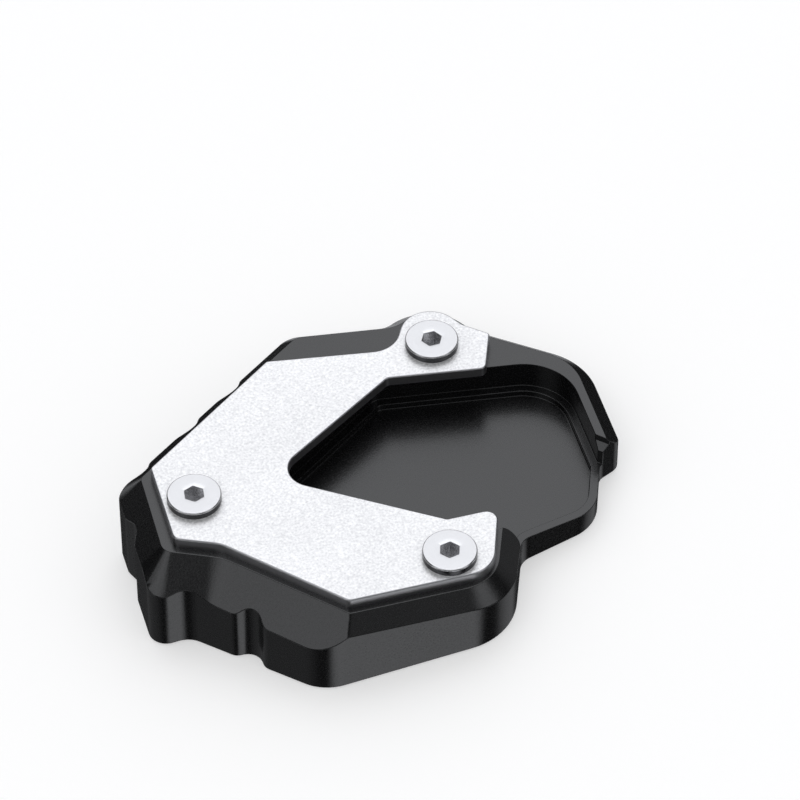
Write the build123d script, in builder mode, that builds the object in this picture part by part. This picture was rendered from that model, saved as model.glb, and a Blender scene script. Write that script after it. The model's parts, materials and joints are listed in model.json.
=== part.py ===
from build123d import *
from math import asin, atan2, cos, hypot, radians, sin, tan
import os

# Foot enlarger for a motorcycle side stand: a black wedge-shaped aluminium base with a
# pocket that takes the stand's foot, a clamp plate with a notch for the stand's leg, and
# three low socket screws. All sizes are in millimetres and degrees.
#
# Plan coordinates lie on the deck, the flat top of the base: x runs along the straight
# front wall from the left wall's line, y away from the front wall. Depths are measured
# down from the deck, square to it.

# Main sizes
body_length = 133.6
body_width = 109.2
wedge_angle = 6.0
left_height = 27.85
underside_chamfer = 0.6

# Bevel that falls from the deck edge to the walls
bevel_width = 4.3
bevel_angle = 45.0
bevel_depth = 12.0
mitre_radius = 2.4

# Pocket for the stand's foot
rim_drop = 8.2
rim_width = 2.4
floor_drop = 10.0
floor_ledge = 2.3
right_land = 2.4

# Stepped nose of the small lobe that closes the pocket at the right
nose_y = 44.7
nose_angle = -44.0
nose_step = 1.8
nose_facet = 1.9

# Scallops in the walls
scallop_width = 11.5
scallop_depth = 2.2
scallop_shoulder_radius = 3.5
scallop_bottom_radius = 4.5
left_scallop_depth = 1.7
diagonal_scallop_depth = 2.4

# Clamp plate
plate_thickness = 3.0
plate_edge_fillet = 0.5
plate_inset = 1.8

# Clamp screws, M8 with low heads
screw_diameter = 8.0
screw_length = 16.0
head_diameter = 14.5
head_height = 2.3
head_edge_chamfer = 0.4
socket_across_flats = 5.0
socket_depth = 3.6
tip_chamfer = 0.9
plate_hole_clearance = 0.3
thread_clearance = 0.05
tapped_depth = 15.5


def from_walls(places, right=False, back=False):
    """Plan coordinates of places given by their distances from two of the outer walls.

    Each place is (distance along x, distance along y, value). The distances are from the
    left and front walls, or from the right or back one where that is asked for.
    """
    return [
        (body_length - x if right else x, body_width - y if back else y, value)
        for x, y, value in places
    ]


def scallop(start, end, distance, depth):
    """Corners of one wavy scallop in a wall that runs from start to end, body on its left.

    The wall dips by depth over scallop_width, with a convex round at each shoulder and a
    concave one at the bottom, joined by straight flanks of one slope.
    """
    run = hypot(end[0] - start[0], end[1] - start[1])
    along = ((end[0] - start[0]) / run, (end[1] - start[1]) / run)
    half = scallop_width / 2
    radii = scallop_shoulder_radius + scallop_bottom_radius
    lever = hypot(half, radii - depth)
    slope = asin(radii / lever) - atan2(radii - depth, half)
    shoulder = half - scallop_shoulder_radius * tan(slope / 2)
    corners = []
    for shift, dip, radius in (
        (-shoulder, 0, scallop_shoulder_radius),
        (0, shoulder * tan(slope), scallop_bottom_radius),
        (shoulder, 0, scallop_shoulder_radius),
    ):
        x = start[0] + along[0] * (distance + shift) - along[1] * dip
        y = start[1] + along[1] * (distance + shift) + along[0] * dip
        corners.append((x, y, radius))
    return corners


def fill_outline(corners):
    """Fill the closed outline whose corners are given as (x, y, corner radius)."""
    with BuildLine() as border:
        FilletPolyline(
            *[(x, y) for x, y, _ in corners],
            radius=[radius for _, _, radius in corners],
            close=True,
        )
    make_face(border.edges())


# Where each screw stands on the deck, and how its socket is turned
screw_front_right = [(57.1, 13.9, 12.0)]
screw_left = [(17.5, 51.3, 22.0)]
screw_back_right = [(40.2, 20.5, 2.0)]
screw_places = {
    "clamp_screw_front": from_walls(screw_front_right, right=True)[0],
    "clamp_screw_left": from_walls(screw_left)[0],
    "clamp_screw_back": from_walls(screw_back_right, right=True, back=True)[0],
}

# Corners of the upright walls, anticlockwise from the one below the left wall
wall_left = [(0, 29.9, 5.3), (9.9, 29.9, 7.0), (38.4, 0, 13.5), (0, 66.3, 4.0)]
left_corner, diagonal_start, diagonal_end, back_end = from_walls(wall_left)
wall_front_right = [
    (43.6, 0, 16.0),
    (34.4, 23.5, 5.0),
    (12.2, 28.1, 11.0),
    (6.5, 43.3, 3.0),
    (0, 45.8, 3.5),
]
wall_back_right = [
    (0, 31.7, 20.0),
    (26.1, 10.9, 4.0),
    (34.9, -3.8, 12.0),
    (49.9, 3.9, 4.0),
    (75.3, 0.4, 8.5),
]
back_corners = from_walls(wall_back_right, right=True, back=True)
back_start = back_corners[-1]
back_run = hypot(back_start[0] - back_end[0], back_start[1] - back_end[1])

# Scallops: how far each lies from the corner named
diagonal_scallop_from_start = 18.8
left_scallop_from_back_end = 13.6
back_scallops_from_back_end = (46.6, 29.1, 8.6)

wall_outline = [left_corner, diagonal_start]
wall_outline += scallop(
    diagonal_start, diagonal_end, diagonal_scallop_from_start, diagonal_scallop_depth
)
wall_outline += [diagonal_end] + from_walls(wall_front_right, right=True) + back_corners
for reach in back_scallops_from_back_end:
    wall_outline += scallop(back_start, back_end, back_run - reach, scallop_depth)
wall_outline += [back_end]
wall_outline += scallop(back_end, left_corner, left_scallop_from_back_end, left_scallop_depth)

# Outline of the deck; where the pocket takes it away it only has to cover the rim
deck_front_left = [(5.7, 38.6, 3.5), (20.0, 32.0, 20.0), (46.9, bevel_width, 0)]
deck_front_right = [(47.1, bevel_width, 12.0), (37.1, 29.9, 0), (bevel_width, 36.7, 2.0)]
deck_back_right = [
    (bevel_width, 34.1, 15.0),
    (29.3, 14.8, 0),
    (37.0, 1.3, 9.0),
    (46.2, 9.0, 0),
    (74.3, 5.1, 4.0),
]
deck_back_left = [(6.3, 65.3, 2.0)]
deck_outline = (
    from_walls(deck_front_left)
    + from_walls(deck_front_right, right=True)
    + from_walls(deck_back_right, right=True, back=True)
    + from_walls(deck_back_left)
)

# Outline of the pocket, which runs out past the walls over the rim
pocket_right = body_length - bevel_width - right_land
pocket_front = 17.1
nose_run = 12.0
pocket_front_right = [(36.9, pocket_front, 0), (34.5, 23.3, 2.8), (52.0, 19.8, 15.0)]
pocket_left = [(33.5, 52.6, 10.8)]
pocket_back_right = [(57.8, 25.9, 5.0), (bevel_width + right_land, 33.1, 15.0)]
pocket_nose = [
    (pocket_right, nose_y, 0),
    (
        pocket_right + nose_run * cos(radians(nose_angle)),
        nose_y + nose_run * sin(radians(nose_angle)),
        0,
    ),
    (body_length + nose_run, pocket_front, 0),
]
pocket_outline = (
    from_walls(pocket_front_right, right=True)
    + from_walls(pocket_left)
    + from_walls(pocket_back_right, right=True, back=True)
    + pocket_nose
)

# Outline of the clamp plate, anticlockwise from the corner below its left edge
plate_front = bevel_width + plate_inset
plate_front_left = [(8.9, 39.4, 2.5), (20.2, 34.3, 9.0), (47.1, plate_front, 2.5)]
plate_front_right = [(47.3, plate_front, 8.6), (40.0, 26.5, 3.0), (54.1, 26.5, 1.5)]
plate_notch = [(38.8, 53.8, 6.5)]
plate_back_right = [
    (55.1, 29.3, 2.0),
    (28.6, 33.1, 2.0),
    (23.8, 20.7, 1.2),
    (30.1, 15.3, 3.0),
    (39.4, -0.7, 8.3),
    (50.7, 19.5, 8.0),
    (84.9, 14.2, 1.0),
]
plate_back_left = [(9.1, 65.5, 1.5)]
plate_outline = (
    from_walls(plate_front_left)
    + from_walls(plate_front_right, right=True)
    + from_walls(plate_notch)
    + from_walls(plate_back_right, right=True, back=True)
    + from_walls(plate_back_left)
)

# Frame: Z up from the ground, the deck tilted over it, the origin under the body's middle
tilt = radians(wedge_angle)
with BuildSketch() as wall_plan:
    fill_outline(wall_outline)
middle_y = wall_plan.sketch.bounding_box().center().Y
bevel_drop = bevel_width / tan(radians(bevel_angle))
reach_left = underside_chamfer * sin(tilt) - left_height * tan(tilt)
reach_right = body_length * cos(tilt) - bevel_drop * sin(tilt)
deck = Plane(
    origin=(-(reach_left + reach_right) / 2, -middle_y, left_height),
    x_dir=(cos(tilt), 0, -sin(tilt)),
    z_dir=(sin(tilt), 0, cos(tilt)),
)
wall_depth = left_height / cos(tilt) + body_length * tan(tilt)

# Base: scalloped walls, cut by the bevel that falls away from the deck edge
with BuildPart() as base:
    with BuildSketch(deck.offset(-bevel_depth)):
        fill_outline(deck_outline)
        offset(amount=bevel_depth * tan(radians(bevel_angle)), kind=Kind.INTERSECTION)
    extrude(amount=bevel_depth, taper=bevel_angle)
    deck_corner = deck * Location((*deck_front_left[-1][:2], 0))
    corner_edges = base.edges().sort_by_distance(deck_corner.position)[:3]
    fillet(corner_edges.sort_by(Axis(deck.origin, deck.z_dir))[0], mitre_radius)
    with BuildSketch(deck):
        fill_outline(wall_outline)
    extrude(amount=-bevel_depth, mode=Mode.INTERSECT)
    with BuildSketch(deck.offset(-bevel_depth)):
        fill_outline(wall_outline)
    extrude(amount=bevel_depth - wall_depth)
    split(bisect_by=Plane.XY, keep=Keep.TOP)
    chamfer(base.faces().sort_by(Axis.Z)[0].edges(), underside_chamfer)

    # Pocket down to the rim, then the floor inside the rim
    with BuildSketch(deck):
        fill_outline(pocket_outline)
    extrude(amount=-rim_drop, mode=Mode.SUBTRACT)
    with BuildSketch(deck.offset(-rim_drop)):
        fill_outline(pocket_outline)
        offset(amount=-floor_ledge, kind=Kind.INTERSECTION)
        with BuildSketch(mode=Mode.INTERSECT):
            fill_outline(wall_outline)
            offset(amount=-rim_width, kind=Kind.INTERSECTION)
    extrude(amount=rim_drop - floor_drop, mode=Mode.SUBTRACT)

    # Step and facet across the nose of the lobe
    nose_plane = Plane(deck * Location((pocket_right, nose_y, 0), (0, 0, nose_angle)))
    with BuildSketch(Plane(nose_plane.origin, x_dir=nose_plane.y_dir, z_dir=nose_plane.x_dir)):
        with BuildLine():
            Polyline(
                (0, -nose_step - nose_facet),
                (nose_facet, -nose_step),
                (nose_facet, nose_step),
                (-nose_facet, nose_step),
                (-nose_facet, -nose_step - nose_facet),
                close=True,
            )
        make_face()
    extrude(amount=nose_run, both=True, mode=Mode.SUBTRACT)

    # Tapped holes for the clamp screws
    for x, y, _ in screw_places.values():
        with Locations(deck * Location((x, y, 0))):
            Hole(screw_diameter / 2 + thread_clearance, depth=tapped_depth)

# Clamp plate, flat on the deck and open towards the right for the leg
with BuildPart() as clamp_plate:
    with BuildSketch(deck):
        fill_outline(plate_outline)
    extrude(amount=plate_thickness)
    plate_top = clamp_plate.faces().sort_by(Axis(deck.origin, deck.z_dir))[-1]
    fillet(plate_top.edges(), plate_edge_fillet)
    for x, y, _ in screw_places.values():
        with Locations(deck * Location((x, y, plate_thickness))):
            Hole(screw_diameter / 2 + plate_hole_clearance, depth=plate_thickness)


def build_screw(seat):
    """One clamp screw standing in the plane seat, its head above and its shank below."""
    with BuildPart() as screw:
        with BuildSketch(seat):
            Circle(head_diameter / 2)
        extrude(amount=head_height)
        head_rim = screw.faces().sort_by(Axis(seat.origin, seat.z_dir))[-1].edges()
        chamfer(head_rim, head_edge_chamfer)
        with BuildSketch(seat):
            Circle(screw_diameter / 2)
        extrude(amount=-screw_length)
        tip = screw.faces().sort_by(Axis(seat.origin, seat.z_dir))[0].edges()
        chamfer(tip, tip_chamfer)
        with BuildSketch(seat.offset(head_height)):
            RegularPolygon(socket_across_flats / 2, 6, major_radius=False)
        extrude(amount=-socket_depth, mode=Mode.SUBTRACT)
    return screw.part


os.makedirs("parts", exist_ok=True)
base.part.label = "base"
export_step(base.part, "parts/base.step")
clamp_plate.part.label = "clamp_plate"
export_step(clamp_plate.part, "parts/clamp_plate.step")
for name, (x, y, turn) in screw_places.items():
    seat = Plane(deck * Location((x, y, plate_thickness), (0, 0, turn)))
    screw_part = build_screw(seat)
    screw_part.label = name
    export_step(screw_part, f"parts/{name}.step")
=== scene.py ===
"""Studio scene of a kickstand foot enlarger: black base, silver clamp plate, three screws.

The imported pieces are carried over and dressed. The screws are worked out here as numpy
surfaces, with their rounded heads, hexagon sockets and threads. Lengths are in metres.
"""

import json
import logging
import math
from dataclasses import dataclass, field
from enum import Enum

import bmesh
import bpy
import numpy as np
from mathutils import Matrix, Vector

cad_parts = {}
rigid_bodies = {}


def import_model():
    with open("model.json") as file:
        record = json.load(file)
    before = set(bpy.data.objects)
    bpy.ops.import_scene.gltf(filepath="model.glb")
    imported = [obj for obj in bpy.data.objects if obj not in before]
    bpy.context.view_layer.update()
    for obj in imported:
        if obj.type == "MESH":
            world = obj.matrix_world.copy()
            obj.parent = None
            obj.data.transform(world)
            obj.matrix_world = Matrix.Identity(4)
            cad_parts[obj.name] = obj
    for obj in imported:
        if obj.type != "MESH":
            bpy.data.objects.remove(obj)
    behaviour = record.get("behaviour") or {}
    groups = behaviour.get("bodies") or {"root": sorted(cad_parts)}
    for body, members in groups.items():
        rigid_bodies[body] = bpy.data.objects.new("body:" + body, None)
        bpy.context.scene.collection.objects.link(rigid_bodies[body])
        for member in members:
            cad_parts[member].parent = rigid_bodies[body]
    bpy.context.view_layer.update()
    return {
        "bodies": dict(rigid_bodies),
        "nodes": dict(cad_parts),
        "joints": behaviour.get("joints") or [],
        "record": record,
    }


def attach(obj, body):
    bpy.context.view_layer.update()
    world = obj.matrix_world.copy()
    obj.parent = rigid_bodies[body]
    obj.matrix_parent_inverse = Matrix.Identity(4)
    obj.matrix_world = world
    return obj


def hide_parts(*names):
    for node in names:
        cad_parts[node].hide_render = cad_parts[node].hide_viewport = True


LOG = logging.getLogger("foot_enlarger")
MM = 0.001
# Points of a worked-out surface that are nearer than this are one point
SAME_PLACE = 0.00001 * MM
# Where a colour mix node has its two colours and its result
FIRST_COLOUR, SECOND_COLOUR, MIXED_COLOUR = 6, 7, 2
WHITE = (1.0, 1.0, 1.0)


class Axis(Enum):
    """Named directions of the tilted deck."""

    ALONG = 0
    ACROSS = 1
    UP = 2


@dataclass(frozen=True)
class Deck:
    """The tilted flat top of the base, which carries the plate, the screws and the view.

    Deck coordinates run along the front wall, away from it, and up, square to the deck.

    Attributes:
        tilt: How far the deck falls towards +X, in radians.
        origin: The zero of the deck coordinates, in the object's frame.
    """

    tilt: float = math.radians(6.0)
    origin: tuple[float, float, float] = (0.0, 0.0, 0.0)

    @classmethod
    def find(cls, frame: dict) -> "Deck":
        """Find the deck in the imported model.

        Its zero is where the base's left wall, its front wall and the plate's underside meet.


        Returns:
            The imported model's deck.
        """
        sloped = cls()
        left, front, _ = sloped.box(frame, "base")[0]
        level = sloped.box(frame, "clamp_plate")[0][Axis.UP.value]
        return cls(origin=tuple(sloped.basis() @ np.array([left, front, level])))

    def axis(self, which: Axis) -> np.ndarray:
        """Turn one deck direction into the object's frame.

        Args:
            which: The direction that is asked for.

        Returns:
            Its unit vector.
        """
        rows = {
            Axis.ALONG: (math.cos(self.tilt), 0.0, -math.sin(self.tilt)),
            Axis.ACROSS: (0.0, 1.0, 0.0),
            Axis.UP: (math.sin(self.tilt), 0.0, math.cos(self.tilt)),
        }
        return np.array(rows[which])

    def basis(self) -> np.ndarray:
        """Return the three deck directions as the columns of a matrix."""
        return np.stack([self.axis(which) for which in Axis], axis=1)

    def place(self, points: np.ndarray) -> np.ndarray:
        """Move points from deck coordinates into the object's frame.

        Args:
            points: An array whose last axis is (along, across, up) in metres.

        Returns:
            The same points in the object's frame.
        """
        return points @ self.basis().T + np.array(self.origin)

    def box(self, frame: dict, node: str) -> np.ndarray:
        """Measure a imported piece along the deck's directions.

        Args:
            node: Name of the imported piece.

        Returns:
            Its lowest and its highest corner in deck coordinates, as two rows.
        """
        mesh = frame["nodes"][node].data
        points = np.empty(len(mesh.vertices) * 3, dtype=np.float32)
        mesh.vertices.foreach_get("co", points)
        local = (points.reshape(-1, 3) - np.array(self.origin)) @ self.basis()
        return np.stack([local.min(axis=0), local.max(axis=0)])


def grid_faces(rows: int, columns: int) -> np.ndarray:
    """Join the points of a grid that closes on itself along its columns.

    Each quad has a point, the next point in its row, and the same two in the next row.

    Args:
        rows: Number of rows of points.
        columns: Number of points in each closed row.

    Returns:
        An array of vertex indices, four to a face, row by row.
    """
    row = np.arange(rows - 1)[:, None] * columns
    column = np.arange(columns)[None, :]
    following = (column + 1) % columns
    quads = np.stack(
        [row + column, row + following, row + columns + following, row + columns + column], axis=-1
    )
    return quads.reshape(-1, 4)


def mesh_object(
    name: str,
    points: np.ndarray,
    faces: np.ndarray,
    sharp: float,
    materials: list[bpy.types.Material],
    slots: np.ndarray | None = None,
) -> bpy.types.Object:
    """Make a mesh object from arrays of points and quads, with points in one place merged.

    Args:
        name: Name of the object and its mesh.
        points: Vertex positions, three to a row, in metres.
        faces: Vertex indices, four to a row.
        sharp: Edges that turn by more than this angle, in radians, stay sharp.
        materials: The object's materials.
        slots: For each face, which of the materials it wears; the first, if not given.

    Returns:
        The new object, linked to the scene, with smooth shading.
    """
    corners = faces.shape[1]
    mesh = bpy.data.meshes.new(name)
    mesh.vertices.add(len(points))
    mesh.vertices.foreach_set("co", points.astype(np.float32).ravel())
    mesh.loops.add(faces.size)
    mesh.loops.foreach_set("vertex_index", faces.astype(np.int32).ravel())
    mesh.polygons.add(len(faces))
    mesh.polygons.foreach_set("loop_start", np.arange(0, faces.size, corners, dtype=np.int32))
    mesh.update(calc_edges=True)
    for material in materials:
        mesh.materials.append(material)
    if slots is not None:
        mesh.polygons.foreach_set("material_index", slots)
    form = bmesh.new()
    form.from_mesh(mesh)
    bmesh.ops.remove_doubles(form, verts=form.verts, dist=SAME_PLACE)
    form.to_mesh(mesh)
    form.free()
    mesh.validate()
    mesh.shade_smooth()
    mesh.set_sharp_from_angle(angle=sharp)
    piece = bpy.data.objects.new(name, mesh)
    bpy.context.scene.collection.objects.link(piece)
    return piece


class NodeGraph:
    """A small helper that adds and links the nodes of one material or world."""

    def __init__(self, tree: bpy.types.NodeTree) -> None:
        """Start from an empty node tree.

        Args:
            tree: The tree to fill.
        """
        self.tree = tree
        tree.nodes.clear()

    def add(self, kind: str, **inputs: object) -> bpy.types.Node:
        """Add a node and fill its inputs.

        Args:
            kind: Blender's name of the node type.
            **inputs: Values or output sockets, by input name, with spaces as underscores.

        Returns:
            The new node.
        """
        node = self.tree.nodes.new(kind)
        for name, value in inputs.items():
            self.set(node, name.replace("_", " "), value)
        return node

    def set(self, node: bpy.types.Node, name: str | int, value: object) -> None:
        """Fill one input of a node with a value, or link an output socket to it.

        Args:
            node: The node that has the input.
            name: The input's name or number.
            value: A value, or an output socket.
        """
        socket = node.inputs[name]
        if isinstance(value, bpy.types.NodeSocket):
            self.tree.links.new(value, socket)
        else:
            socket.default_value = value

    def math(self, operation: str, first: object, second: object = 0.0) -> bpy.types.NodeSocket:
        """Add a math node.

        Args:
            operation: Blender's name of the operation.
            first: A value or an output socket.
            second: Another value or output socket.

        Returns:
            The node's output.
        """
        node = self.tree.nodes.new("ShaderNodeMath")
        node.operation = operation
        self.set(node, 0, first)
        self.set(node, 1, second)
        return node.outputs[0]

    def noise(self, coordinates: bpy.types.NodeSocket, scale: float, detail: float) -> bpy.types.NodeSocket:
        """Add a noise texture.

        Args:
            coordinates: The output socket that gives the place.
            scale: Cycles for each metre.
            detail: Number of finer layers.

        Returns:
            The output with the noise's value.
        """
        node = self.add("ShaderNodeTexNoise", Vector=coordinates, Scale=scale, Detail=detail)
        return node.outputs["Fac"]

    def ramp(self, value: object, low: float, high: float) -> bpy.types.NodeSocket:
        """Stretch a value of 0 to 1.

        Args:
            value: A value or an output socket.
            low: What 0 becomes.
            high: What 1 becomes.

        Returns:
            The output with the stretched value.
        """
        node = self.add("ShaderNodeMapRange", Value=value)
        node.inputs["To Min"].default_value = low
        node.inputs["To Max"].default_value = high
        return node.outputs["Result"]

    def shade(
        self, value: object, dark: tuple[float, float, float], light: tuple[float, float, float]
    ) -> bpy.types.NodeSocket:
        """Mix two colours.

        Args:
            value: The share of the light colour, from 0 to 1.
            dark: Red, green and blue of the dark colour.
            light: Red, green and blue of the light colour.

        Returns:
            The output with the mixed colour.
        """
        node = self.tree.nodes.new("ShaderNodeMix")
        node.data_type = "RGBA"
        self.set(node, 0, value)
        self.set(node, FIRST_COLOUR, (*dark, 1.0))
        self.set(node, SECOND_COLOUR, (*light, 1.0))
        return node.outputs[MIXED_COLOUR]

    def blend(self, share: object, first: object, second: object) -> bpy.types.NodeSocket:
        """Mix two shaders.

        Args:
            share: The share of the second shader, from 0 to 1.
            first: The output of one shader.
            second: The output of the other shader.

        Returns:
            The output with the mixed shader.
        """
        node = self.tree.nodes.new("ShaderNodeMixShader")
        for number, value in enumerate((share, first, second)):
            self.set(node, number, value)
        return node.outputs[0]


@dataclass(frozen=True)
class GrainedMetal:
    """A metal surface with a fine grain in its colour, roughness and height.

    Attributes:
        name: Name of the material.
        dark: Colour in the grain's hollows.
        light: Colour on the grain's tops.
        metallic: Share of bare metal, from 0 to 1.
        ior: Index of refraction of the surface layer.
        roughness: Lowest and highest roughness.
        grain_scale: Grain cycles for each metre.
        cloud_scale: Cycles for each metre of the slow change in tone.
        bump_height: Depth of the grain in metres.
        grain_share: Share of the grain in the tone; the slow change has the rest.
        grain_detail: Finer layers in the grain.
        cloud_detail: Finer layers in the slow change.
        contrast: What a tone of 0 and of 1 become, as noise keeps near its middle.
    """

    name: str
    dark: tuple[float, float, float]
    light: tuple[float, float, float]
    metallic: float
    ior: float
    roughness: tuple[float, float]
    grain_scale: float
    cloud_scale: float
    bump_height: float
    grain_share: float = 0.85
    grain_detail: float = 3.0
    cloud_detail: float = 2.0
    contrast: tuple[float, float] = (-0.6, 1.6)

    def build(self) -> bpy.types.Material:
        """Make the node material.

        Returns:
            The new material.
        """
        material = bpy.data.materials.new(self.name)
        material.use_nodes = True
        graph = NodeGraph(material.node_tree)
        place = graph.add("ShaderNodeTexCoord").outputs["Object"]
        grain = graph.noise(place, self.grain_scale, self.grain_detail)
        cloud = graph.noise(place, self.cloud_scale, self.cloud_detail)
        fine = graph.math("MULTIPLY", grain, self.grain_share)
        slow = graph.math("MULTIPLY", cloud, 1.0 - self.grain_share)
        spread = graph.ramp(graph.math("ADD", fine, slow), *self.contrast)
        bump = graph.add("ShaderNodeBump", Height=grain, Distance=self.bump_height, Strength=1.0)
        shader = graph.add(
            "ShaderNodeBsdfPrincipled",
            Base_Color=graph.shade(spread, self.dark, self.light),
            Roughness=graph.ramp(spread, *self.roughness),
            Metallic=self.metallic,
            IOR=self.ior,
            Normal=bump.outputs["Normal"],
        )
        graph.add("ShaderNodeOutputMaterial", Surface=shader.outputs["BSDF"])
        return material


@dataclass(frozen=True)
class PlainMatt:
    """A plain matt surface for the studio floor, with a little light of its own.

    Its underside is clear, so that the object can be looked at from below.

    Attributes:
        name: Name of the material.
        colour: Colour of the surface.
        glow: Brightness of its own light.
        roughness: Roughness of the surface.
    """

    name: str = "studio_floor"
    colour: tuple[float, float, float] = (0.6, 0.6, 0.6)
    glow: float = 0.42
    roughness: float = 0.9

    def build(self) -> bpy.types.Material:
        """Make the node material.

        Returns:
            The new material.
        """
        material = bpy.data.materials.new(self.name)
        material.use_nodes = True
        graph = NodeGraph(material.node_tree)
        shader = graph.add(
            "ShaderNodeBsdfPrincipled",
            Base_Color=(*self.colour, 1.0),
            Roughness=self.roughness,
            Emission_Color=(*WHITE, 1.0),
            Emission_Strength=self.glow,
        )
        behind = graph.add("ShaderNodeNewGeometry").outputs["Backfacing"]
        clear = graph.add("ShaderNodeBsdfTransparent")
        both = graph.blend(behind, shader.outputs["BSDF"], clear.outputs["BSDF"])
        graph.add("ShaderNodeOutputMaterial", Surface=both)
        return material


class Finish(Enum):
    """The finishes that the pieces wear."""

    BLACK = GrainedMetal(
        name="satin_black_anodising",
        dark=(0.003, 0.003, 0.0032),
        light=(0.006, 0.006, 0.0064),
        metallic=0.0,
        ior=1.65,
        roughness=(0.22, 0.30),
        grain_scale=1800.0,
        cloud_scale=60.0,
        bump_height=0.000014,
    )
    SILVER = GrainedMetal(
        name="blasted_aluminium",
        dark=(0.60, 0.60, 0.61),
        light=WHITE,
        metallic=0.6,
        ior=1.5,
        roughness=(0.34, 0.44),
        grain_scale=1500.0,
        cloud_scale=45.0,
        bump_height=0.00005,
    )
    CUT_ALUMINIUM = GrainedMetal(
        name="cut_aluminium",
        dark=(0.56, 0.56, 0.57),
        light=(0.62, 0.62, 0.63),
        metallic=1.0,
        ior=1.5,
        roughness=(0.36, 0.40),
        grain_scale=2600.0,
        cloud_scale=80.0,
        bump_height=0.0000004,
    )
    # The turned steel darkened as painted shade, worn by the screw heads' upright sides
    PAINTED_SHADE_STEEL = GrainedMetal(
        name="steel_painted_shade",
        dark=(0.06, 0.06, 0.063),
        light=(0.10, 0.10, 0.104),
        metallic=1.0,
        ior=1.5,
        roughness=(0.22, 0.30),
        grain_scale=3200.0,
        cloud_scale=300.0,
        bump_height=0.000001,
    )
    STEEL = GrainedMetal(
        name="turned_steel",
        dark=(0.58, 0.58, 0.59),
        light=(0.66, 0.66, 0.67),
        metallic=0.85,
        ior=1.5,
        roughness=(0.18, 0.26),
        grain_scale=3200.0,
        cloud_scale=300.0,
        bump_height=0.000001,
    )


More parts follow.
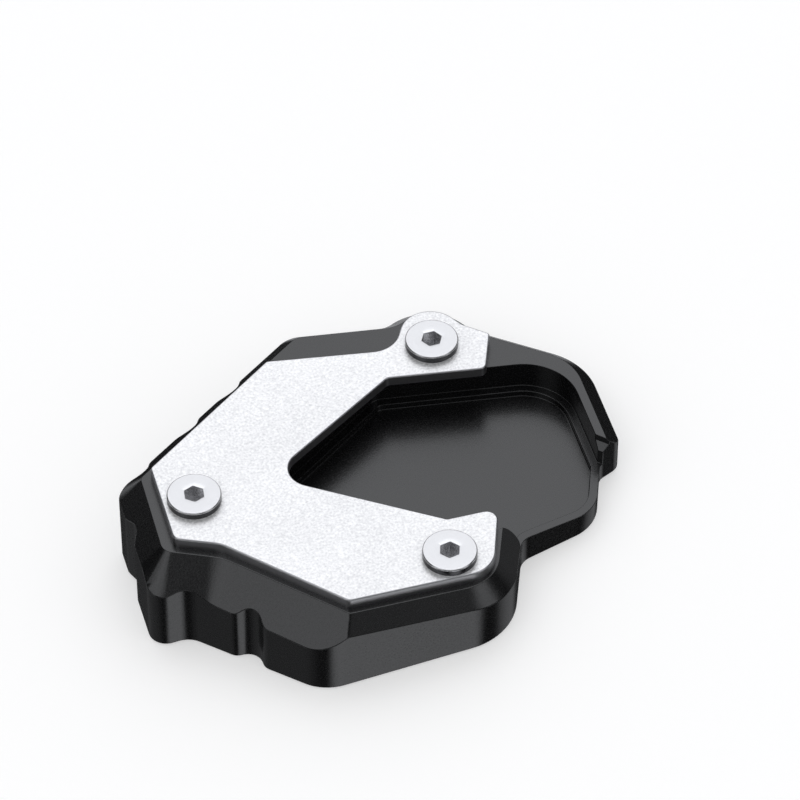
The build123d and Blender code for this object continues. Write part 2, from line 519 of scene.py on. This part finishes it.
@dataclass
class ClampScrew:
    """A low-headed socket screw, one closed surface turned about its axis.

    Its profile runs from the tip up the thread, round the head and down into the socket.
    In the socket the radius follows a hexagon instead of a circle.

    Attributes:
        node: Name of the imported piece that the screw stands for.
        turn: Turn of the hexagon about the axis, in radians.
        head_radius: Radius of the head.
        head_height: Height of the head above its seat.
        head_round: Radius of the head's rounded top edge.
        shank_radius: Radius of the shank and of the thread's crests.
        shank_length: Length from the seat to the tip.
        tip_chamfer: Size of the chamfer at the tip.
        pitch: Rise of the thread in one turn.
        thread_depth: Depth of the thread.
        plain_length: Length of the plain shank under the head.
        socket_flats: Width of the hexagon socket across its flats.
        socket_depth: Depth of the socket's walls.
        socket_lip: How far the socket's edge is broken outwards.
        seat_break: Size of the break at the head's lower edge.
        drill_radius: Radius of the cone at the socket's floor.
        drill_cone: Depth of that cone.
        columns: Number of points round the screw.
        rows_per_pitch: Number of rows in one turn of the thread.
        round_steps: Number of rows in the rounded edge.
        sharp: Edges that turn by more than this angle stay sharp, in radians.
    """

    node: str
    turn: float
    head_radius: float = 7.25 * MM
    head_height: float = 2.3 * MM
    head_round: float = 0.45 * MM
    shank_radius: float = 4.0 * MM
    shank_length: float = 16.0 * MM
    tip_chamfer: float = 0.9 * MM
    pitch: float = 1.25 * MM
    thread_depth: float = 0.6 * MM
    plain_length: float = 3.4 * MM
    socket_flats: float = 5.0 * MM
    socket_depth: float = 5.2 * MM
    socket_lip: float = 0.08 * MM
    seat_break: float = 0.2 * MM
    drill_radius: float = 2.1 * MM
    drill_cone: float = 0.9 * MM
    columns: int = 96
    rows_per_pitch: int = 8
    round_steps: int = 6
    sharp: float = math.radians(32)

    def thread(self, angle: np.ndarray) -> np.ndarray:
        """Work out the rows of the thread.

        The radius falls from the crest to the root as a triangle wave of height and angle,
        so the crest climbs one pitch for each turn. It fades out over one pitch at both ends.

        Args:
            angle: Angles of the columns, in radians.

        Returns:
            Rows of (radius, height) for each angle.
        """
        bottom = -self.shank_length + self.tip_chamfer
        top = -self.plain_length
        count = int((top - bottom) / self.pitch * self.rows_per_pitch)
        height = np.linspace(bottom, top, count)[:, None]
        phase = (height / self.pitch - angle / (2 * math.pi)) % 1.0
        wave = np.abs(2 * phase - 1)
        fade = np.clip(np.minimum(top - height, height - bottom) / self.pitch, 0.0, 1.0)
        radius = self.shank_radius - self.thread_depth * wave * fade
        return np.stack([radius, np.broadcast_to(height, radius.shape)], axis=-1)

    def hexagon(self, angle: np.ndarray, flats: float) -> np.ndarray:
        """Work out the outline of a hexagon with a corner at angle 0.

        The radius is half the width over the cosine of the angle from the middle of a side.

        Args:
            angle: Angles of the columns, in radians.
            flats: Width of the hexagon across its flats.

        Returns:
            The hexagon's radius at each angle.
        """
        sixth = math.pi / 3
        return flats / 2 / np.cos(angle % sixth - sixth / 2)

    def surface(self) -> np.ndarray:
        """Work out the points of the whole screw.

        Each row is a ring of the profile's radius and height, and x and y are that radius
        times the cosine and the sine of the column's angle.

        Returns:
            Rows of (x, y, height) about the screw's axis, from the tip to the socket's floor.
        """
        angle = np.arange(self.columns) * 2 * math.pi / self.columns
        ones = np.ones_like(angle)

        def ring(radius: np.ndarray | float, height: float) -> np.ndarray:
            """Return one closed row of the profile."""
            return np.stack([radius * ones, height * ones], axis=1)

        tip = -self.shank_length
        rim = self.head_height - self.head_round
        socket = self.hexagon(angle, self.socket_flats)
        lip = self.hexagon(angle, self.socket_flats + 2 * self.socket_lip)
        floor = self.head_height - self.socket_depth
        rows = [ring(0.0, tip), ring(self.shank_radius - self.tip_chamfer, tip)]
        rows += [ring(self.shank_radius, tip + self.tip_chamfer)]
        rows += list(self.thread(angle))
        rows += [ring(self.shank_radius, 0.0), ring(self.head_radius - self.seat_break, 0.0)]
        rows += [ring(self.head_radius, self.seat_break), ring(self.head_radius, rim)]
        for step in range(1, self.round_steps + 1):
            bend = math.pi / 2 * step / self.round_steps
            inset = self.head_round * (1 - math.cos(bend))
            rows.append(ring(self.head_radius - inset, rim + self.head_round * math.sin(bend)))
        middle = (self.head_radius + self.socket_flats / 2) / 2
        rows += [ring(middle, self.head_height), ring(lip, self.head_height)]
        rows += [ring(socket, self.head_height - self.socket_lip / 2), ring(socket, floor)]
        rows += [ring(self.drill_radius, floor), ring(0.0, floor - self.drill_cone)]
        profile = np.stack(rows)
        turned = angle + self.turn
        return np.stack(
            [profile[..., 0] * np.cos(turned), profile[..., 0] * np.sin(turned), profile[..., 1]], axis=-1
        )

    def painted_shade_faces(self, points: np.ndarray) -> np.ndarray:
        """Mark the faces of the head's upright side, which wear painted shade.

        Args:
            points: The points that surface() returned.

        Returns:
            One whole number for each face, 1 where it wears the darker steel of painted shade.
        """
        radius = np.hypot(points[..., 0], points[..., 1]).max(axis=1)
        side = np.isclose(radius, self.head_radius)
        return np.repeat(side[:-1] & side[1:], self.columns).astype(np.int32)

    def place(self, frame: dict, deck: Deck) -> np.ndarray:
        """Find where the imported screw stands.

        Its axis is in the middle of its box, and its seat is the head's height below its top.

        Args:
            deck: The deck that the screw is square to.

        Returns:
            Deck coordinates of the middle of the head's seat.
        """
        low, high = deck.box(frame, self.node)
        along, across, _ = (low + high) / 2
        return np.array([along, across, high[Axis.UP.value] - self.head_height])

    def build(
        self, frame: dict, deck: Deck, finish: bpy.types.Material, dark: bpy.types.Material
    ) -> bpy.types.Object:
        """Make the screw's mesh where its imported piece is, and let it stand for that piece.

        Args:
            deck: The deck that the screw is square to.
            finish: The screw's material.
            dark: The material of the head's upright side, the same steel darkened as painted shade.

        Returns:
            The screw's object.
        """
        surface = self.surface()
        rows, columns, _ = surface.shape
        points = surface + self.place(frame, deck)
        piece = mesh_object(
            f"{self.node}_turned",
            deck.place(points).reshape(-1, 3),
            grid_faces(rows, columns),
            sharp=self.sharp,
            materials=[finish, dark],
            # The head's upright side wears the darker steel, as painted shade
            slots=self.painted_shade_faces(surface),
        )
        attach(piece, "root")
        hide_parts(self.node)
        return piece


@dataclass
class MachinedPiece:
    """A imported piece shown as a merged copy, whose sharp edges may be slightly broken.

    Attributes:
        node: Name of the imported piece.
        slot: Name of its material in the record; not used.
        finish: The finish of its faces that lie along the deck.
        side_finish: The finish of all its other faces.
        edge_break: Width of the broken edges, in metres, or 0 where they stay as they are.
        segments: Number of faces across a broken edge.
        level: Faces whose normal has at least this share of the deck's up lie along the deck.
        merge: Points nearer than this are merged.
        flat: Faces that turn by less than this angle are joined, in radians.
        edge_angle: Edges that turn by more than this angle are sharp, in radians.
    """

    node: str
    slot: str
    finish: Finish
    side_finish: Finish
    edge_break: float
    segments: int = 2
    level: float = 0.985
    merge: float = 0.002 * MM
    flat: float = math.radians(0.4)
    edge_angle: float = math.radians(28)

    def side_faces(self, mesh: bpy.types.Mesh, deck: Deck) -> np.ndarray:
        """Mark the faces that turn away from the deck's up.

        Args:
            mesh: The piece's mesh.
            deck: The deck that the level faces follow.

        Returns:
            One whole number for each face, 1 where it wears the side finish.
        """
        normals = np.empty(len(mesh.polygons) * 3, dtype=np.float32)
        mesh.polygons.foreach_get("normal", normals)
        return (normals.reshape(-1, 3) @ deck.axis(Axis.UP) < self.level).astype(np.int32)

    def finish_edges(self, piece: bpy.types.Object) -> None:
        """Break the sharp edges, or keep them crisp, and keep the flat faces flat.

        Args:
            piece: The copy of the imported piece.
        """
        if self.edge_break:
            bevel = piece.modifiers.new("broken_edges", "BEVEL")
            bevel.width = self.edge_break
            bevel.segments = self.segments
            bevel.limit_method = "ANGLE"
            bevel.angle_limit = self.edge_angle
            bevel.use_clamp_overlap = False
        else:
            piece.data.set_sharp_from_angle(angle=self.edge_angle)
        flat = piece.modifiers.new("flat_faces", "WEIGHTED_NORMAL")
        flat.mode = "FACE_AREA"
        flat.keep_sharp = True

    def build(
        self, frame: dict, deck: Deck, materials: dict[Finish, bpy.types.Material]
    ) -> bpy.types.Object:
        """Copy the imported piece, break its edges and let the copy stand for it.

        Args:
            deck: The deck that the level faces follow.
            materials: Built materials by finish.

        Returns:
            The copy's object.
        """
        form = bmesh.new()
        form.from_mesh(frame["nodes"][self.node].data)
        bmesh.ops.remove_doubles(form, verts=form.verts, dist=self.merge)
        bmesh.ops.dissolve_limit(form, angle_limit=self.flat, verts=form.verts, edges=form.edges)
        mesh = bpy.data.meshes.new(f"{self.node}_machined")
        form.to_mesh(mesh)
        form.free()
        mesh.shade_smooth()
        mesh.materials.clear()
        mesh.materials.append(materials[self.finish])
        mesh.materials.append(materials[self.side_finish])
        mesh.polygons.foreach_set("material_index", self.side_faces(mesh, deck))
        piece = bpy.data.objects.new(mesh.name, mesh)
        bpy.context.scene.collection.objects.link(piece)
        self.finish_edges(piece)
        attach(piece, "root")
        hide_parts(self.node)
        return piece


@dataclass(frozen=True)
class LightCard:
    """A soft round patch of light, far away.

    Attributes:
        heading: Degrees to the right of the view's heading.
        height: Degrees above the deck.
        size: Degrees from its middle to its faded edge.
        strength: Brightness in its middle.
        core: Share of its size that is evenly bright.
    """

    heading: float
    height: float
    size: float
    strength: float
    core: float = 0.5

    def direction(self, view: "PhotoView") -> np.ndarray:
        """Work out where the card is.

        Args:
            view: The view that the card's angles refer to.

        Returns:
            The unit vector towards the card in the object's frame.
        """
        turn = math.radians(self.heading)
        rise = math.radians(self.height)
        local = np.array([math.sin(turn) * math.cos(rise), math.cos(turn) * math.cos(rise), math.sin(rise)])
        return view.axes() @ local


@dataclass(frozen=True)
class PhotoView:
    """The photograph's view, measured against the deck.

    Attributes:
        deck: The deck that the angles refer to.
        turn: Degrees from the front wall's direction to the picture's horizontal.
        fall: Degrees that the view looks down on the deck.
        distance: Distance from the camera to the aim.
        aim: Deck coordinates of the point in the picture's middle.
        lens: Focal length in millimetres.
        sensor: Width of the sensor in millimetres.
        reach: Nearest and farthest distance that the camera shows.
    """

    deck: Deck
    turn: float = 16.0
    fall: float = 46.5
    distance: float = 1266.5 * MM
    aim: tuple[float, float, float] = (75.63 * MM, 57.84 * MM, 17.5 * MM)
    lens: float = 216.0
    sensor: float = 36.0
    reach: tuple[float, float] = (0.01, 50.0)

    def axes(self) -> np.ndarray:
        """Work out the view's directions, level with the deck.

        Returns:
            The view's right, forward and up as columns, in the object's frame.
        """
        swing = math.radians(self.turn)
        right = np.array([math.cos(swing), -math.sin(swing), 0.0])
        ahead = np.array([math.sin(swing), math.cos(swing), 0.0])
        up = np.array([0.0, 0.0, 1.0])
        return self.deck.basis() @ np.stack([right, ahead, up], axis=1)

    def build(self) -> bpy.types.Object:
        """Add the camera and make it the scene's own.

        Returns:
            The camera's object.
        """
        right, ahead, up = self.axes().T
        fall = math.radians(self.fall)
        forward = ahead * math.cos(fall) - up * math.sin(fall)
        upright = ahead * math.sin(fall) + up * math.cos(fall)
        position = self.deck.place(np.array(self.aim)) - forward * self.distance
        data = bpy.data.cameras.new("photo_camera")
        data.lens = self.lens
        data.sensor_width = self.sensor
        data.clip_start, data.clip_end = self.reach
        camera = bpy.data.objects.new("photo_camera", data)
        turn = Matrix([Vector(right), Vector(upright), Vector(-forward)]).transposed()
        camera.matrix_world = Matrix.Translation(Vector(position)) @ turn.to_4x4()
        bpy.context.scene.collection.objects.link(camera)
        bpy.context.scene.camera = camera
        return camera


@dataclass
class Studio:
    """The pale floor and the soft light round the object.

    Attributes:
        view: The photograph's view, which the light cards are placed from.
        floor_reach: Half the width of the floor.
        floor_gap: How far the floor lies under the object.
        dim: Brightness that gloss sees between the cards.
        dome: Brightness of the even light on matt surfaces.
        backdrop: Brightness of what the camera sees behind the object.
        tint: Colour of the cards.
        low_height: Degrees from the deck's level to the low cards.
        low_size: Degrees from a low card's middle to its faded edge.
        low_strength: Brightness of the low cards.
        low_count: Number of low cards.
        ahead_reach: Low cards nearer to the view's heading than this hang lower.
        ahead_drop: Degrees that those cards hang lower.
        ahead_narrowing: Degrees that those cards are smaller.
        cards: The light cards outside the low ring.
    """

    view: PhotoView
    floor_reach: float = 4.0
    floor_gap: float = 0.05 * MM
    dim: float = 0.02
    dome: float = 0.88
    backdrop: float = 0.96
    low_height: float = -19.0
    low_size: float = 15.0
    low_strength: float = 0.85
    low_count: int = 9
    ahead_reach: float = 70.0
    ahead_drop: float = 10.0
    ahead_narrowing: float = 3.0
    tint: tuple[float, float, float] = (0.97, 0.985, 1.02)
    cards: list[LightCard] = field(
        default_factory=lambda: [
            # What the deck mirrors in the photograph's view
            LightCard(heading=0, height=49, size=40, strength=1.44),
            # Overhead
            LightCard(heading=0, height=90, size=34, strength=0.8),
            # Round about, above the deck's level or on it
            LightCard(heading=180, height=14, size=20, strength=0.6),
            LightCard(heading=-131, height=37, size=22, strength=1.2),
            LightCard(heading=119, height=34, size=19, strength=1.2),
            LightCard(heading=157, height=35, size=19, strength=0.17),
            LightCard(heading=62, height=7, size=24, strength=0.2),
            LightCard(heading=-44, height=0, size=15, strength=0.9),
            # Far below the deck's level
            LightCard(heading=157, height=-46, size=20, strength=1.1),
            LightCard(heading=67, height=-46, size=22, strength=0.36),
            LightCard(heading=-90, height=-46, size=45, strength=0.12),
        ]
    )

    def low_cards(self) -> list[LightCard]:
        """Work out a ring of small cards below the deck's level, which the upright walls mirror.

        Those ahead of the view hang lower, so that the far bevels stay dark in it.

        Returns:
            The low cards.
        """
        step = 360.0 / self.low_count
        ring = []
        for turn in range(self.low_count):
            heading = step * (turn + 0.5) - 180.0
            ahead = abs(heading) < self.ahead_reach
            height = self.low_height - self.ahead_drop * ahead
            size = self.low_size - self.ahead_narrowing * ahead
            ring.append(LightCard(heading=heading, height=height, size=size, strength=self.low_strength))
        return ring

    def build_light(self) -> bpy.types.World:
        """Make the light of the studio.

        Gloss sees soft light cards, matt surfaces get an even light from all round, and the
        camera itself sees an even pale backdrop. A card's brightness is a smooth step of the
        cosine of the angle from its middle, so it fades towards its edge.

        Returns:
            The world, which the scene already uses.
        """
        world = bpy.data.worlds.new("studio_light")
        world.use_nodes = True
        graph = NodeGraph(world.node_tree)
        way = graph.add("ShaderNodeTexCoord").outputs["Generated"]
        total: object = self.dim
        for card in self.cards + self.low_cards():
            facing = graph.tree.nodes.new("ShaderNodeVectorMath")
            facing.operation = "DOT_PRODUCT"
            graph.set(facing, 0, way)
            graph.set(facing, 1, tuple(card.direction(self.view)))
            glow = graph.add("ShaderNodeMapRange", Value=facing.outputs["Value"])
            glow.interpolation_type = "SMOOTHSTEP"
            glow.inputs["From Min"].default_value = math.cos(math.radians(card.size))
            glow.inputs["From Max"].default_value = math.cos(math.radians(card.size * card.core))
            glow.inputs["To Max"].default_value = card.strength
            total = graph.math("ADD", total, glow.outputs["Result"])
        rays = graph.add("ShaderNodeLightPath")
        light = graph.add("ShaderNodeBackground", Color=(*self.tint, 1.0), Strength=total).outputs[0]
        for kind, strength in (("Is Diffuse Ray", self.dome), ("Is Camera Ray", self.backdrop)):
            even = graph.add("ShaderNodeBackground", Color=(*WHITE, 1.0), Strength=strength)
            light = graph.blend(rays.outputs[kind], light, even.outputs[0])
        graph.add("ShaderNodeOutputWorld", Surface=light)
        bpy.context.scene.world = world
        return world

    def build_floor(self) -> bpy.types.Object:
        """Make the floor just under the object, whose gloss and matt surfaces don't see it.

        Returns:
            The floor's object.
        """
        square = np.array([[-1, -1], [1, -1], [1, 1], [-1, 1]]) * self.floor_reach
        corners = np.column_stack([square, np.full(len(square), -self.floor_gap)])
        face = np.arange(len(corners))[None, :]
        floor = mesh_object("floor", corners, face, sharp=math.pi, materials=[PlainMatt().build()])
        floor.visible_glossy = False
        floor.visible_diffuse = False
        return floor


def main() -> None:
    """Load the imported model, dress it, and add the studio and the camera."""
    logging.basicConfig(level=logging.INFO, format="%(message)s")
    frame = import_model()
    deck = Deck.find(frame)
    materials = {finish: finish.value.build() for finish in Finish}
    machined = [
        MachinedPiece(
            node="base",
            slot="black_anodised",
            finish=Finish.BLACK,
            side_finish=Finish.BLACK,
            edge_break=0.2 * MM,
        ),
        MachinedPiece(
            node="clamp_plate",
            slot="blasted_aluminium",
            finish=Finish.SILVER,
            side_finish=Finish.CUT_ALUMINIUM,
            edge_break=0.0,
        ),
    ]
    screws = [
        ClampScrew(node="clamp_screw_front", turn=math.radians(12)),
        ClampScrew(node="clamp_screw_left", turn=math.radians(22)),
        ClampScrew(node="clamp_screw_back", turn=math.radians(2)),
    ]
    pieces = [part.build(frame, deck, materials) for part in machined]
    for screw in screws:
        pieces.append(screw.build(frame, deck, materials[Finish.STEEL], materials[Finish.PAINTED_SHADE_STEEL]))
    for piece in pieces:
        LOG.info("%s: %d faces", piece.name, len(piece.data.polygons))
    view = PhotoView(deck)
    view.build()
    studio = Studio(view)
    studio.build_light()
    studio.build_floor()
    bpy.context.scene.view_settings.view_transform = "Standard"


if __name__ == "__main__":
    main()
